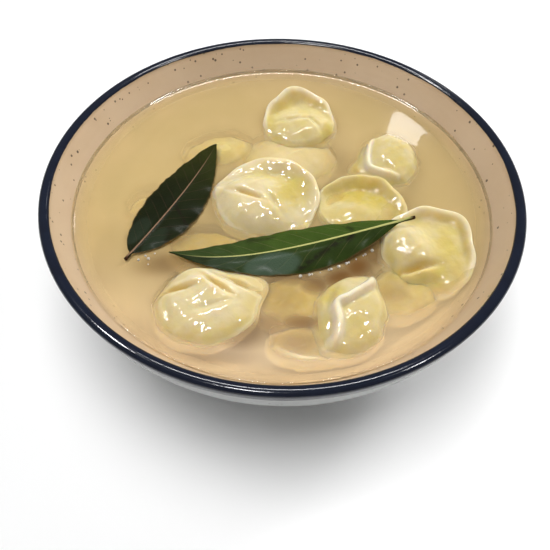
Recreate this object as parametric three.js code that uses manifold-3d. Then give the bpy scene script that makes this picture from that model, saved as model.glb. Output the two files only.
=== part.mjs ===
// Bowl of pelmeni: a navy-rimmed stoneware bowl of clear broth with seven dumplings
// breaking the surface and two bay leaves floating on it.
// Millimetres, +Z up, origin at the centre of the foot ring's underside.
import * as THREE from "three";
import { mergeVertices } from "three/addons/utils/BufferGeometryUtils.js";
import Module from "manifold-3d";

const wasm = await Module();
wasm.setup();

// ---- Driving dimensions -------------------------------------------------------------

const RIM_RADIUS = 100;        // outer edge of the lip
const LIP_HALF_WIDTH = 2.2;
const LIP_Z = 63.6;            // height of the lip's widest point
const LIP_RISE = 1.7;          // the lip's crown above that
const FOOT_RADIUS = 42;
const FOOT_WIDTH = 4.5;
const FOOT_HEIGHT = 6;
const FOOT_RECESS = 5;         // underside of the floor above the table
const FLOOR_RADIUS = 28;       // flat middle of the inside
const FLOOR_Z = 10;
const BROTH_LEVEL = 51.5;
const GAP = 0.3;               // clearance that touching pieces keep
const ROUND_STEPS = 44;        // facets round the bowl and the broth
const WALL_STEPS = 6;          // facets up the wetted wall

const BALL_POWER = 2.8;        // how square-shouldered a filling's dome is
const LEAF_THICKNESS = 0.7;
const STALK_SHARE = 0.055; // of the leaf's length
const STALK_HALF_WIDTH = 0.8;
const TIP_HALF_WIDTH = 0.4;

// ---- Materials ----------------------------------------------------------------------

const stoneware = new THREE.MeshStandardMaterial({ color: 0xd8c2a8, roughness: 0.3, metalness: 0 });
const brothClear = new THREE.MeshStandardMaterial({ color: 0xdcb985, roughness: 0.05, metalness: 0 });
const dough = new THREE.MeshStandardMaterial({ color: 0xeee0b4, roughness: 0.3, metalness: 0 });
const darkLeaf = new THREE.MeshStandardMaterial({ color: 0x28321a, roughness: 0.4, metalness: 0 });
const greenLeaf = new THREE.MeshStandardMaterial({ color: 0x2f4a25, roughness: 0.4, metalness: 0 });

// ---- Small helpers ------------------------------------------------------------------

const radians = THREE.MathUtils.degToRad;

// 0 at a, 1 at b, with a smooth run between them; a may be the larger of the two.
function ramp(value, a, b) {
  const t = THREE.MathUtils.clamp((value - a) / (b - a), 0, 1);
  return t * t * (3 - 2 * t);
}

// Distance from (x, y) to the middle of a turned ellipse, 1 on the ellipse itself.
function inEllipse(x, y, { at, size, turn = 0 }) {
  const cos = Math.cos(radians(turn));
  const sin = Math.sin(radians(turn));
  const along = ((x - at[0]) * cos + (y - at[1]) * sin) / size[0];
  const across = ((y - at[1]) * cos - (x - at[0]) * sin) / size[1];
  return Math.hypot(along, across);
}

// Drops everything but positions and joins the vertices along seams and at poles.
function welded(geometry) {
  geometry.deleteAttribute("normal");
  geometry.deleteAttribute("uv");
  return mergeVertices(geometry, 1e-3);
}

function toManifold(geometry) {
  const mesh = new wasm.Mesh({
    numProp: 3,
    vertProperties: new Float32Array(geometry.attributes.position.array),
    triVerts: new Uint32Array(geometry.index.array),
  });
  return new wasm.Manifold(mesh);
}

function toGeometry(manifold) {
  const mesh = manifold.getMesh();
  const geometry = new THREE.BufferGeometry();
  geometry.setAttribute("position", new THREE.BufferAttribute(mesh.vertProperties, 3));
  geometry.setIndex(new THREE.BufferAttribute(mesh.triVerts, 1));
  return geometry;
}

// The same closed shape with every vertex moved out along its normal.
function grown(geometry, distance) {
  const fat = geometry.clone();
  fat.computeVertexNormals();
  const position = fat.attributes.position;
  const normal = fat.attributes.normal;
  for (let i = 0; i < position.count; i += 1) {
    position.setXYZ(
      i,
      position.getX(i) + distance * normal.getX(i),
      position.getY(i) + distance * normal.getY(i),
      position.getZ(i) + distance * normal.getZ(i),
    );
  }
  fat.deleteAttribute("normal");
  return fat;
}

// ---- Bowl ---------------------------------------------------------------------------

// Inside of the wall, from the edge of the flat floor up to the lip.
const innerWall = new THREE.CubicBezierCurve(
  new THREE.Vector2(FLOOR_RADIUS, FLOOR_Z),
  new THREE.Vector2(62, FLOOR_Z),
  new THREE.Vector2(84, 38),
  new THREE.Vector2(RIM_RADIUS - 2 * LIP_HALF_WIDTH, LIP_Z),
);

// Outside of the wall, from the foot up to the lip.
const outerWall = new THREE.CubicBezierCurve(
  new THREE.Vector2(FOOT_RADIUS + 0.6, FOOT_HEIGHT),
  new THREE.Vector2(76, 8),
  new THREE.Vector2(95, 35),
  new THREE.Vector2(RIM_RADIUS, LIP_Z),
);

// The curve parameter at which the inside of the wall reaches a height.
function wallParameterAt(z) {
  let low = 0;
  let high = 1;
  for (let i = 0; i < 40; i += 1) {
    const middle = (low + high) / 2;
    if (innerWall.getPoint(middle).y < z) low = middle;
    else high = middle;
  }
  return low;
}

const BROTH_PARAMETER = wallParameterAt(BROTH_LEVEL);

function curvePoints(curve, from, to, steps) {
  const points = [];
  for (let i = 0; i <= steps; i += 1) {
    points.push(curve.getPoint(from + ((to - from) * i) / steps));
  }
  return points;
}

function footPoints() {
  const inside = FOOT_RADIUS - FOOT_WIDTH;
  return [
    new THREE.Vector2(0, FOOT_RECESS),
    new THREE.Vector2(inside - 1, FOOT_RECESS),
    new THREE.Vector2(inside, 0.5),
    new THREE.Vector2(inside + 0.5, 0),
    new THREE.Vector2(FOOT_RADIUS - 0.5, 0),
    new THREE.Vector2(FOOT_RADIUS, 0.5),
  ];
}

// A profile of (radius, height) points turned about the vertical axis.
function turned(profile) {
  return welded(new THREE.LatheGeometry(profile, ROUND_STEPS).rotateX(Math.PI / 2));
}

function bowlGeometry() {
  const middle = RIM_RADIUS - LIP_HALF_WIDTH;
  const lip = new THREE.EllipseCurve(middle, LIP_Z, LIP_HALF_WIDTH, LIP_RISE, 0, Math.PI);
  const above = curvePoints(innerWall, 1, BROTH_PARAMETER, 2);
  const below = curvePoints(innerWall, BROTH_PARAMETER, 0, WALL_STEPS);
  const profile = [
    ...footPoints(),
    ...outerWall.getPoints(7),
    ...lip.getPoints(5).slice(1),
    ...above.slice(1),
    ...below.slice(1),
    new THREE.Vector2(0, FLOOR_Z),
  ];
  return turned(profile);
}

// ---- Pelmeni ------------------------------------------------------------------------

// Plan radius of the brim at an angle: an ellipse with drawn-out corners.
function brimRadius(theta, { size, turn = 0, corners = [] }) {
  const angle = theta - radians(turn);
  let radius = 1 / Math.hypot(Math.cos(angle) / size[0], Math.sin(angle) / size[1]);
  for (const corner of corners) {
    const away = THREE.MathUtils.euclideanModulo(theta - radians(corner.angle) + Math.PI, 2 * Math.PI);
    radius += corner.reach * Math.exp(-(((away - Math.PI) / radians(corner.width)) ** 2));
  }
  return radius;
}

// How far a pinched ridge along a curve lifts the dough at (x, y).
function ridgeHeight(x, y, { line, width, height }) {
  const samples = line.getPoints(24);
  let nearest = Infinity;
  let place = 0;
  samples.forEach((point, i) => {
    const distance = Math.hypot(point.x - x, point.y - y);
    if (distance < nearest) {
      nearest = distance;
      place = i / (samples.length - 1);
    }
  });
  return height * Math.exp(-((nearest / width) ** 3)) * Math.sin(Math.PI * place) ** 0.4;
}

// A dumpling is a sphere pressed into a two-sided sheet of dough: a filling domes it up
// and down, its brim lifts towards one side, and creases dent it. The sphere's latitude
// becomes the distance out to the brim.
function pelmenGeometry(shape) {
  const { thickness = 1.15, tilt = [0, 0], rise, fillings, creases = [], ridges = [] } = shape;
  const { spokes = 20, rings = 12, brimStart = 0.65, depth = 7 } = shape;
  const geometry = new THREE.SphereGeometry(1, spokes, rings);
  geometry.rotateX(Math.PI / 2);
  const position = geometry.attributes.position;
  for (let i = 0; i < position.count; i += 1) {
    const theta = Math.atan2(position.getY(i), position.getX(i));
    const out = Math.min(1, Math.hypot(position.getX(i), position.getY(i)));
    const radius = brimRadius(theta, shape);
    const x = out * radius * Math.cos(theta);
    const y = out * radius * Math.sin(theta);
    const lift = rise.mean + rise.swing * Math.cos(theta - radians(rise.toward));
    const middle = tilt[0] * x + tilt[1] * y + lift * ramp(out, brimStart, 1) ** 1.3;
    const fromEdge = Math.min(1, ((1 - out) * radius) / thickness);
    const half = thickness * Math.sqrt(1 - (1 - fromEdge) ** 2);
    let swell = 0;
    if (position.getZ(i) > 0) {
      for (const filling of fillings) {
        swell += filling.height * Math.exp(-0.9 * inEllipse(x, y, filling) ** BALL_POWER);
      }
      for (const crease of creases) {
        swell -= crease.depth * Math.exp(-(inEllipse(x, y, crease) ** 2));
      }
      for (const ridge of ridges) {
        swell += ridgeHeight(x, y, ridge);
      }
    } else {
      swell = depth * Math.exp(-0.9 * inEllipse(x, y, fillings[0]) ** 2.4);
    }
    const side = Math.sign(position.getZ(i));
    const sheet = out > 0.999 ? 0 : half + swell * ramp(out, 1, 0.9);
    position.setXYZ(i, x, y, middle + side * sheet);
  }
  return welded(geometry);
}

function curveThrough(points) {
  return new THREE.SplineCurve(points.map(([x, y]) => new THREE.Vector2(x, y)));
}

// Places are from the bowl's axis, with the height from the broth's surface. A filling's
// size is its half length and half width.
const PELMENI = {
  pelmen_middle: {
    place: [-7, -2.5, -0.5],
    size: [23, 22],
    corners: [{ angle: 172, width: 14, reach: 1.5 }, { angle: 35, width: 20, reach: 1 }],
    rise: { mean: 0.2, swing: 3.6, toward: 62 },
    tilt: [0.02, 0.07],
    brimStart: 0.62,
    fillings: [
      { at: [-6, -4.5], size: [14.5, 13.5], height: 7 },
      { at: [-8, 6], size: [9, 5], turn: 12, height: 1.4 },
      { at: [4, -11], size: [6, 6], height: 1.5 },
    ],
    creases: [{ at: [-8, -1.5], size: [6.5, 1.6], turn: -24, depth: 2.6 }],
  },
  pelmen_back: {
    place: [7.5, 48, -2],
    size: [18, 19],
    corners: [{ angle: 97, width: 20, reach: 2.5 }],
    rise: { mean: 0.2, swing: 4.8, toward: 108 },
    tilt: [0, 0.16],
    brimStart: 0.66,
    fillings: [
      { at: [0.5, -5.5], size: [16, 12.5], height: 6 },
      { at: [9, -5], size: [7, 7], height: 1 },
    ],
    creases: [{ at: [-2, 1], size: [8, 1.6], turn: 8, depth: 1.4 }],
  },
  pelmen_back_right: {
    place: [48.5, 25, -1.2],
    size: [14.5, 18],
    turn: -10,
    corners: [{ angle: 205, width: 20, reach: 5 }],
    rise: { mean: -2.5, swing: 0.5, toward: 200 },
    tilt: [-0.02, 0.03],
    fillings: [
      { at: [1.5, 0.5], size: [12, 15], height: 5.6 },
      { at: [-3, 10], size: [5, 5], height: 1 },
    ],
    ridges: [{
      line: curveThrough([[-7, 12], [-9.5, 4], [-10, -6], [-5, -10], [2, -12.5]]),
      width: 1.6,
      height: 2.6,
    }],
    spokes: 24,
    rings: 13,
  },
  pelmen_right_inner: {
    place: [34.2, -5.2, -5],
    size: [19.7, 16.2],
    rise: { mean: 3, swing: 2.8, toward: 88 },
    tilt: [0, 0.1],
    brimStart: 0.62,
    fillings: [{ at: [-6, -7], size: [12, 9], height: 5 }],
  },
  pelmen_right: {
    place: [59.5, -28.5, -1.4],
    size: [19.5, 21.5],
    corners: [{ angle: 46, width: 16, reach: 3.5 }],
    rise: { mean: 0.6, swing: 3.7, toward: 50 },
    tilt: [0, 0.07],
    brimStart: 0.74,
    fillings: [
      { at: [-8.5, 0], size: [10, 11.5], height: 8 },
      { at: [3, -8], size: [9, 8], height: 2.4 },
      { at: [8, 3], size: [8, 13], height: 2.2 },
    ],
    creases: [{ at: [-5.5, -9], size: [6.5, 1.8], turn: 14, depth: 4.4 }],
  },
  pelmen_front_left: {
    place: [-28, -57, -2.2],
    size: [21.5, 19.5],
    turn: 10,
    corners: [{ angle: 27, width: 15, reach: 4.5 }],
    rise: { mean: -2, swing: 1.8, toward: 20 },
    tilt: [0.05, 0.04],
    brimStart: 0.7,
    fillings: [
      { at: [-2, -3], size: [18.5, 15], turn: -12, height: 6.8 },
      { at: [-5, 12], size: [8.5, 6], height: 3.2 },
      { at: [8, 6], size: [9, 6], turn: 15, height: 1.6 },
    ],
    creases: [
      { at: [-11, 5], size: [5.5, 1.6], turn: 8, depth: 2.6 },
      { at: [5, 6.5], size: [6, 1.6], turn: -33, depth: 3 },
    ],
  },
  pelmen_front_right: {
    place: [27, -59, -1.8],
    size: [15, 20.5],
    turn: -12,
    corners: [{ angle: 60, width: 16, reach: 1.5 }, { angle: 238, width: 18, reach: 2 }],
    rise: { mean: -3.5, swing: 0, toward: 0 },
    fillings: [
      { at: [3, 0], size: [13, 18.5], turn: -12, height: 6 },
      { at: [-9, 4], size: [5, 9], height: 2.6 },
    ],
    ridges: [{
      line: curveThrough([
        [11, 19], [8, 11.5], [0, 4.5], [-5.5, 0.5], [-4.8, -6.5], [-6, -12.5], [-9, -16],
      ]),
      width: 1.6,
      height: 4,
    }],
    spokes: 24,
    rings: 13,
  },
};

function pelmenMesh(name, shape) {
  const geometry = pelmenGeometry(shape);
  geometry.translate(shape.place[0], shape.place[1], BROTH_LEVEL + shape.place[2]);
  const mesh = new THREE.Mesh(geometry, dough);
  mesh.name = name;
  return mesh;
}

// ---- Bay leaves ---------------------------------------------------------------------

// How far along the blade a share of the leaf's length is: 0 at the stalk's end, 1 at the tip.
function alongBlade(share) {
  return THREE.MathUtils.clamp((share - STALK_SHARE) / (1 - STALK_SHARE), 0, 1);
}

// Half the blade's width: widest * sin(pi * u^skew)^taper, and never less than the stalk's.
function halfWidth({ widest, skew, taper }, share) {
  const swell = Math.max(0, Math.sin(Math.PI * alongBlade(share) ** skew));
  const least = THREE.MathUtils.lerp(STALK_HALF_WIDTH, TIP_HALF_WIDTH, share);
  return Math.max(widest * swell ** taper, least);
}

// An edge sags from the rib's height towards its rest over the broth, as sin(pi * u).
function edgeHeight({ rest }, share, ribHeight) {
  return THREE.MathUtils.lerp(ribHeight, rest, Math.sin(Math.PI * alongBlade(share)));
}

// A leaf is a thin slab swept along its midrib from stalk to tip, and its two halves hang
// from the rib to their edges.
function leafGeometry({ rib, left, right }) {
  const ribPoints = rib.map(([x, y, z]) => new THREE.Vector3(x, y, BROTH_LEVEL + z));
  const line = new THREE.CubicBezierCurve3(...ribPoints);
  const geometry = new THREE.BoxGeometry(1, 2, 1, 16, 4, 1);
  const position = geometry.attributes.position;
  for (let i = 0; i < position.count; i += 1) {
    const t = THREE.MathUtils.clamp(position.getX(i) + 0.5, 0, 1);
    const across = position.getY(i);
    const point = line.getPointAt(t);
    const along = line.getTangentAt(t);
    const side = new THREE.Vector3(-along.y, along.x, 0).normalize();
    const half = across > 0 ? left : right;
    const ribHeight = point.z - BROTH_LEVEL;
    const hang = (edgeHeight(half, t, ribHeight) - ribHeight) * Math.abs(across) ** 1.5;
    point.addScaledVector(side, across * halfWidth(half, t));
    position.setXYZ(i, point.x, point.y, point.z + hang + position.getZ(i) * LEAF_THICKNESS);
  }
  return welded(geometry);
}

// A rib runs from its stalk to its tip through two pulling points.
const LEAVES = {
  bay_leaf_dark: {
    material: darkLeaf,
    rib: [[-62, -38, 1.5], [-55, -25, 1.5], [-38, 6, 1.8], [-31, 29, 3.5]],
    left: { widest: 12.5, skew: 0.88, taper: 0.63, rest: 1 },
    right: { widest: 12.7, skew: 0.74, taper: 1, rest: 1.4 },
  },
  bay_leaf_green: {
    material: greenLeaf,
    rib: [[55, -16, 7.5], [20, -27, 5.5], [-18, -42, 2], [-45, -34, 2.5]],
    left: { widest: 10.7, skew: 0.85, taper: 1.3, rest: 1 },
    right: { widest: 10.8, skew: 0.9, taper: 0.9, rest: 2 },
  },
};

function leafMesh(name, leaf) {
  const mesh = new THREE.Mesh(leafGeometry(leaf), leaf.material);
  mesh.name = name;
  return mesh;
}

// ---- Broth --------------------------------------------------------------------------

// The wetted wall moved in by the gap, closed by the flat surface of the broth.
function brothProfile() {
  const points = [new THREE.Vector2(0, FLOOR_Z + GAP)];
  for (let i = 0; i <= WALL_STEPS; i += 1) {
    const t = (BROTH_PARAMETER * i) / WALL_STEPS;
    const along = innerWall.getTangent(t);
    const point = innerWall.getPoint(t);
    points.push(new THREE.Vector2(point.x - GAP * along.y, point.y + GAP * along.x));
  }
  points[points.length - 1].y = BROTH_LEVEL;
  points.push(new THREE.Vector2(0, BROTH_LEVEL));
  return points;
}

// The largest of the separate bodies that a cut leaves.
function largestBody(manifold) {
  return manifold.decompose().reduce((best, body) => (body.volume() > best.volume() ? body : best));
}

function brothMesh(pieces) {
  let solid = toManifold(turned(brothProfile()));
  for (const piece of pieces) {
    solid = solid.subtract(toManifold(grown(piece.geometry, 1.2 * GAP)));
  }
  const mesh = new THREE.Mesh(toGeometry(largestBody(solid)), brothClear);
  mesh.name = "broth";
  return mesh;
}

// ---- The whole ----------------------------------------------------------------------

const bowl = new THREE.Mesh(bowlGeometry(), stoneware);
bowl.name = "bowl";
const pelmeni = Object.entries(PELMENI).map(([name, shape]) => pelmenMesh(name, shape));
const leaves = Object.entries(LEAVES).map(([name, leaf]) => leafMesh(name, leaf));

const part = new THREE.Group();
part.add(bowl);
part.add(brothMesh([...pelmeni, ...leaves]));
part.add(...pelmeni);
part.add(...leaves);

export default part;
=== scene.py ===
"""Bowl of pelmeni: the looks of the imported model.

A turned stoneware bowl with a navy rim, clear golden broth that climbs a little at its
wall, boiled dumplings above and under the broth, two floating bay leaves and some bubbles.
Shapes are in millimetres in the tables below and become metres in the meshes.
"""

import math

import bpy
import numpy as np
from bpy.props import FloatProperty, FloatVectorProperty, IntProperty, PointerProperty
from mathutils import Matrix, Vector


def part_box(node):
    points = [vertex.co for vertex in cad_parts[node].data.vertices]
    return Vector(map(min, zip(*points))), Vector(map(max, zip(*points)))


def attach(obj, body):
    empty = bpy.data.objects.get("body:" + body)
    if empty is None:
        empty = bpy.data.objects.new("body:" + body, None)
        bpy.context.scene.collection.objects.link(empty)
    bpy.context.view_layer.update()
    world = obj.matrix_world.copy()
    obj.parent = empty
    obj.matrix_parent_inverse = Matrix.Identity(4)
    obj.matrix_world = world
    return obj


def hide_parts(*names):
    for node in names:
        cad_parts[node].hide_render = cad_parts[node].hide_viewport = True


bl_info = {
    "name": "Bowl of pelmeni",
    "version": (1, 0, 0),
    "blender": (4, 5, 0),
    "location": "3D View > Sidebar > Pelmeni",
    "description": "Builds the bowl, broth, dumplings and bay leaves over the packed frame",
    "category": "Add Mesh",
}

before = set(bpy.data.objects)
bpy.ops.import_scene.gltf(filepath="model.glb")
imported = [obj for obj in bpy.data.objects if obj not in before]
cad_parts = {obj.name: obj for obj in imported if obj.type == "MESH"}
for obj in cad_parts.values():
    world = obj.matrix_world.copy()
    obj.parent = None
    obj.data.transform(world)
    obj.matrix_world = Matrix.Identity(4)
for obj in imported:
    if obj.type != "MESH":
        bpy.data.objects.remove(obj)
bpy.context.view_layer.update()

MM = 0.001
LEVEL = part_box("broth")[1].z / MM
RIM_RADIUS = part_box("bowl")[1].x / MM

# ---- Shapes, in millimetres ---------------------------------------------------------

LIP_HALF_WIDTH = 2.2
LIP_Z = 63.6  # where the walls end and the lip begins
LIP_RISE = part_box("bowl")[1].z / MM - LIP_Z
FOOT_RADIUS = 42.0
FOOT_WIDTH = 4.5
FOOT_HEIGHT = 6.0
FOOT_RECESS = 5.0
FLOOR_RADIUS = 28.0
FLOOR_Z = 10.0
FOOT_CORNER = 0.6
BAND_BLUR = 0.2 * MM
RING_SPACING = 3.4 * MM  # of the turning rings
WALL_OVERLAP = 0.4  # how far the broth reaches into the wall
CLIMB_REACH = 2  # how far from the wall the broth's climb falls to a third
SHALLOW_SHARE = 0.85  # share of the veil that is missing where the broth has no depth
GAP_SHADE_VEIL = 0.9  # veil in the dimmest gap
BOWL_SPOKES = 256
BROTH_RINGS, BROTH_SPOKES = 150, 520

# Each wall is a Bezier curve of (radius, height), from below up to the lip.
LIP_INSIDE = RIM_RADIUS - 2 * LIP_HALF_WIDTH
INNER_WALL = [(FLOOR_RADIUS, FLOOR_Z), (62, FLOOR_Z), (84, 38), (LIP_INSIDE, LIP_Z)]
OUTER_WALL = [(FOOT_RADIUS + 0.6, FOOT_HEIGHT), (76, 8), (95, 35), (RIM_RADIUS, LIP_Z)]

# Places are from the bowl's axis, with the height from the broth's surface. Angles are in
# degrees. A filling, crease or yellow spot is (x, y, half length, half width, turn, height,
# depth or strength); yellow spots are partly the dough's own yellow and partly painted shade.
# The rest of a dumpling's values:
#   size       half length and half width of the brim, turned by turn
#   phase      where its ripples and its brim's ruffle start, so that no two are alike
#   corners    (angle, width in degrees, reach) of each drawn-out corner of the brim
#   rise       (mean, swing, angle) of the brim's lift, highest towards the angle
#   tilt       slope of the sheet along x and y
#   brim_start share of the radius at which the brim begins to lift
#   thickness  half thickness of the sheet of dough
#   ridges     (line, width, height) of each pinched ridge
#   white      paleness of the brim, crown painted light on high places, pale that of the whole
#   shade      least yellow of the whole, as painted shade; skirt that of the low side of the brim
#   valley     shares of the radius where the yellow between filling and brim begins, is
#              full, begins to fade and ends
PLAIN_PELMEN = dict(
    turn=0, corners=[], tilt=(0, 0), brim_start=0.65, thickness=0.85, creases=[], ridges=[],
    white=0.35, crown=0.5, pale=0, shade=0, skirt=0.5, valley=(0.4, 0.75, 0.86, 0.94), yellow=[],
)
PELMENI = {
    "middle": dict(
        place=(-7, -2.5, -0.5), size=(23, 22), corners=[(172, 14, 1.5), (35, 20, 1)],
        rise=(0.2, 3.6, 62), tilt=(0.02, 0.07), phase=0.5, brim_start=0.62, thickness=1.2,
        fillings=[
            (-6, -4.5, 14.5, 13.5, 0, 7), (-8, 6, 9, 5, 12, 1.4), (-22.5, 3.5, 3, 2.6, 0, 2),
            (4, -11, 6, 6, 0, 1.5), (9, 4, 10, 9, -30, 0.9), (-3, 16.5, 12, 3, 8, 1.2),
        ],
        creases=[(-8, -1.5, 6.5, 1.1, -24, 3), (3.5, -5, 7, 1.5, -55, 1.4)],
        yellow=[(11, 5, 8, 13, -30, 0.9), (-3, 10.5, 11, 4.2, 5, 0.55), (6, -9, 8, 6, 0, 0.35)],
        skirt=0, pale=0.22, valley=(0.3, 0.5, 0.66, 0.8),
    ),
    "back": dict(
        place=(7.5, 48, -2), size=(18, 19), corners=[(97, 20, 2.5)], rise=(0.2, 4.8, 108),
        tilt=(0, 0.16), phase=2.1, brim_start=0.66, white=0.8, crown=0.15,
        shade=0.25, yellow=[(14, -7, 5, 9, 0, 1), (-15, -3, 4, 9, 0, 0.8)],
        fillings=[(0.5, -5.5, 16, 12.5, 0, 6), (9, -5, 7, 7, 0, 1)],
        creases=[(-2, 1, 8, 1.4, 8, 1.4), (7, -2, 6, 1.2, -60, 1.2)],
    ),
    "back_right": dict(
        place=(48.5, 25, -1.2), size=(14.5, 18), turn=-10, corners=[(205, 20, 5)],
        rise=(-2.5, 0.5, 200), tilt=(-0.02, 0.03), phase=3.3,
        fillings=[(1.5, 0.5, 12, 15, 0, 5.6), (-3, 10, 5, 5, 0, 1)], crown=0.1,
        yellow=[(4, -1, 8, 11, 0, 0.5)], shade=0.15,
        ridges=[([(-7, 12), (-9.5, 4), (-10, -6), (-5, -10), (2, -12.5)], 1.2, 2.6)],
    ),
    "right_inner": dict(
        place=(34.2, -5.2, -2.6), size=(19.7, 16.3), rise=(2.2, 2.8, 88), tilt=(0, 0.1),
        phase=1.2, brim_start=0.62, thickness=0.6, white=0.2, crown=0, shade=0.45,
        fillings=[(-6, -7, 12, 9, 0, 5), (4, 3, 13, 8, 0, 2)], yellow=[(2, 7, 17, 9.5, -5, 1)],
        valley=(0.4, 0.7, 0.93, 0.99),
    ),
    "right": dict(
        place=(59.5, -28.5, -1.4), size=(19.5, 21.5), corners=[(46, 16, 3.5)], rise=(0.6, 3.7, 50),
        tilt=(0, 0.07), phase=4.0, brim_start=0.74, white=0.7, crown=0.1, shade=0.15,
        fillings=[
            (-8.5, 0, 10, 11.5, 0, 8), (3, -8, 9, 8, 0, 2.4), (-5, -13.5, 7, 2.5, 14, 1.6),
            (8, 3, 8, 13, 0, 2.2),
        ],
        yellow=[(2, -12, 15, 8, 15, 0.75), (9, 1, 8, 14, 0, 0.75)], valley=(0.4, 0.72, 0.9, 0.96),
        creases=[(-5.5, -10, 6.5, 1.1, 14, 4), (-14.5, -9, 1.6, 5, 12, 1.5)],
    ),
    "front_left": dict(
        place=(-28, -57, -2.2), size=(21.5, 19.5), turn=10, corners=[(27, 15, 4.5)],
        rise=(-2, 1.8, 20), tilt=(0.05, 0.04), phase=5.2, brim_start=0.7, pale=0.2,
        yellow=[(12, 13, 9, 5, -25, 0.5)],
        fillings=[(-2, -3, 18.5, 15, -12, 6.8), (-5, 12, 8.5, 6, 0, 3.2), (8, 6, 9, 6, 15, 1.6)],
        creases=[
            (-11, 5, 5.5, 1.1, 8, 3.2), (5, 6.5, 6, 1.2, -33, 3.6), (2, -3, 8, 1.2, 20, 0.8),
            (-14, -4, 1.5, 6, 15, 1.2), (12, 9.5, 8, 1.3, -24, 2.6),
        ],
    ),
    "front_right": dict(
        place=(27, -59, -1.8), size=(15, 20.5), turn=-12, corners=[(60, 16, 1.5), (238, 18, 2)],
        rise=(-3.5, 0, 0), phase=0.9, crown=0.15,
        yellow=[(6, -5, 9, 12, -12, 0.4), (-10, -8, 4, 8, 0, 0.5), (-8, 7, 6, 8, -12, 0.9)],
        fillings=[(3, 0, 13, 18.5, -12, 6), (-9, 3, 5, 8, 0, 1.6)],
        creases=[(-7.5, 6, 1.8, 6, -20, 1.6)],
        ridges=[(
            [(11, 19), (8, 11.5), (0, 4.5), (-5.5, 0.5), (-4.8, -6.5), (-6, -12.5), (-10, -16)],
            1.8, 3.8,
        )],
    ),
}

SUNK_PELMENI = {
    "sunk_behind": dict(
        place=(2.5, 26, -5.6), size=(23, 19), rise=(-3, 1, 60), phase=2.9, pale=0.45,
        fillings=[(0, 0, 18, 15, 0, 4.2)],
    ),
    "sunk_back_left": dict(
        place=(-31, 30, -5.6), size=(19, 13), turn=25, rise=(-4, 0, 0), phase=0.3, shade=0.35,
        fillings=[(4, 0, 12, 9, 0, 4.6)],
    ),
    "sunk_front": dict(
        place=(5.5, -51.5, -7), size=(18, 14), rise=(-6, 0, 0), phase=1.9, shade=1,
        fillings=[(0, 0, 12, 10, 0, 5)],
    ),
    "sunk_middle_left": dict(
        place=(-28, -28, -8), size=(22, 13), turn=-15, rise=(-6, 0, 0), phase=3.9, shade=0.8,
        fillings=[(0, 0, 13, 8, 0, 4)],
    ),
    "sunk_left": dict(
        place=(-58.5, -6, -12), size=(11, 14), rise=(-4, 0, 0), phase=4.9,
        fillings=[(0, 0, 8, 8, 0, 5)],
    ),
    "sunk_front_middle": dict(
        place=(10.5, -71.5, -6.4), size=(16, 10), rise=(-3, 0, 0), tilt=(0, -0.15), phase=0.9,
        shade=0.9, fillings=[(2, 3, 11, 7, 0, 3)],
        ridges=[([(-12, -2), (-6, -5), (0, -6.5), (7, -6.5)], 1.4, 3.4)],
    ),
    "sunk_front_right": dict(
        place=(49, -46, -5.2), size=(18, 13), turn=35, rise=(-4, 0, 0), phase=5.9, shade=0.55,
        fillings=[(0, 1, 16, 11, 0, 4)],
    ),
}

# Painted light on the crowns of sunk dumplings
SUNK_CROWN_LIGHT = 0.1
PELMENI = {name: {**PLAIN_PELMEN, **shape} for name, shape in PELMENI.items()}
SUNK_PELMENI = {
    name: {**PLAIN_PELMEN, "crown": SUNK_CROWN_LIGHT, **shape} for name, shape in SUNK_PELMENI.items()
}

BELLY_DEPTH = 7  # how far the filling hangs under the sheet
RELIEF_REACH = 2.2  # distance over which folds and crowns are told apart
SUNK_RINGS, SUNK_SPOKES = 56, 88  # rows and columns of a sunk dumpling's grid

# Painted shade on the broth in the gaps between pelmeni, where little light reaches: place,
# half length, half width, turn and strength.
SHADED_GAPS = [
    (14, -46.5, 8, 5, 0, 0.8), (24, -42.5, 9, 5.5, 25, 0.95), (31, -37, 8, 6, 45, 0.95),
    (37, -31, 7, 6, 50, 0.7), (5, -44, 10, 5, 0, 0.6), (2, -51, 11, 9, 0, 0.45),
    (8.5, -63.5, 9, 4, 0, 0.8), (-4, -65, 9, 6, 20, 0.55), (-12, -69, 10, 7, 35, 0.65),
    (-46, -38, 13, 6, 10, 0.6), (-20, -79, 15, 4, 0, 0.3), (28, 21, 5, 10, 0, 0.25),
    (44, -48.5, 7, 6, 0, 0.45), (-36, -27, 9, 6, 0, 0.2), (22, 9, 5, 6, 0, 0.15),
    (20, 45, 4, 8, 0, 0.35), (6.5, -72, 10, 6, 0, 0.6),
]
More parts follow.
